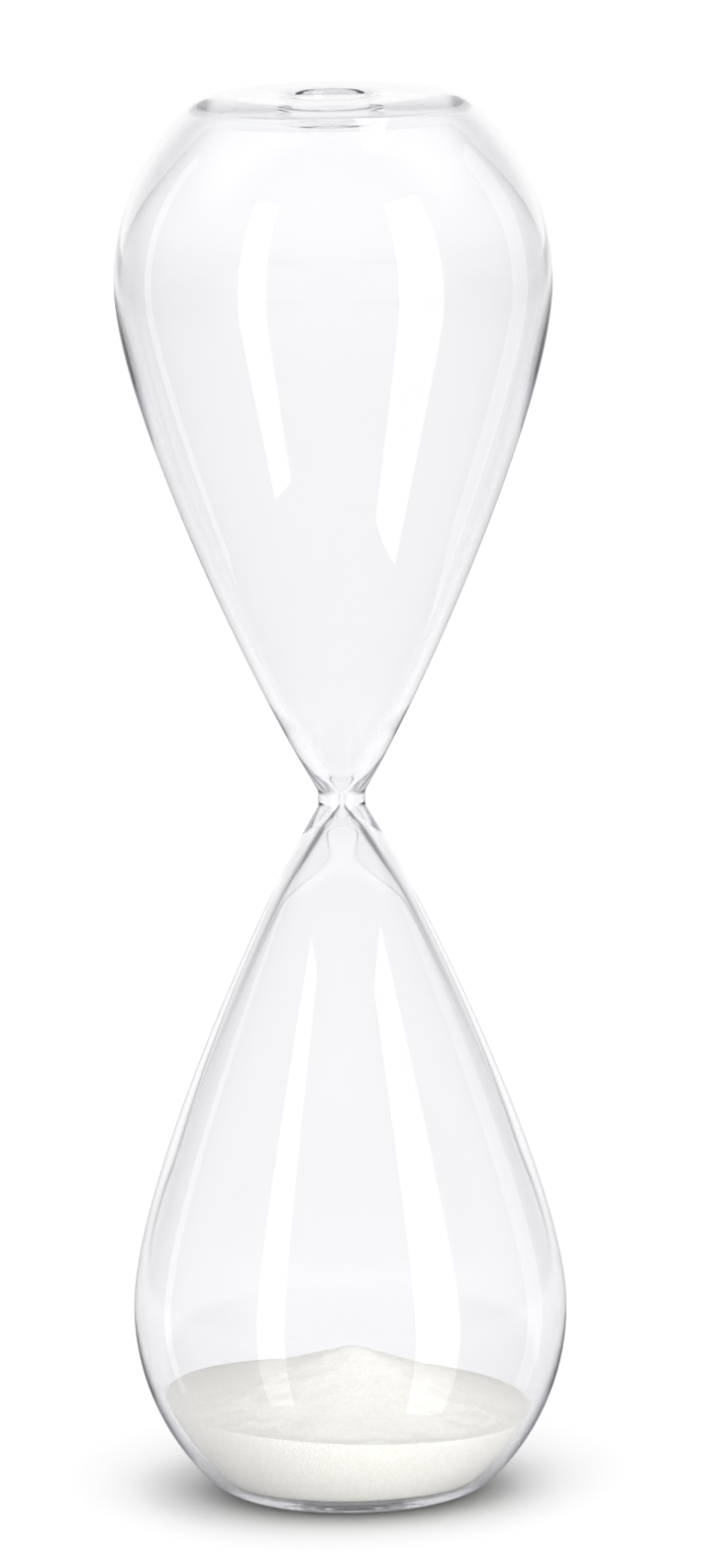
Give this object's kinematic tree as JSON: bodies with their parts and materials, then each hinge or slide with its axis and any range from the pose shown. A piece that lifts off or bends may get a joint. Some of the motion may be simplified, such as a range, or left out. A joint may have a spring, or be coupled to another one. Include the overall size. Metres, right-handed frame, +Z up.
{
  "type": "hourglass",
  "caption": "Frameless all-glass hourglass: blown bulbs fused at a thick-walled capillary neck, with a charge of white sand.",
  "frame": {"origin": "centre of the lower foot, in the plane it stands on", "axes": "+Z up along the axis of the glass, from the lower foot to the upper foot; +X towards the side where the sand lies lower"},
  "size_m": [0.077, 0.077, 0.25],
  "materials": {
    "glass": "gloss",
    "sand": "matte"
  },
  "bodies": {
    "glass": {"lower_bulb": "glass", "neck_tube": "glass", "upper_bulb": "glass", "fill_seal": "glass"},
    "sand_charge": {"sand": "sand"}
  },
  "joints": [
    {"name": "sand_shift", "type": "slide", "parent": "glass", "child": "sand_charge", "axis": [0, 0, 1], "range_m": [0, 0.034]}
  ]
}
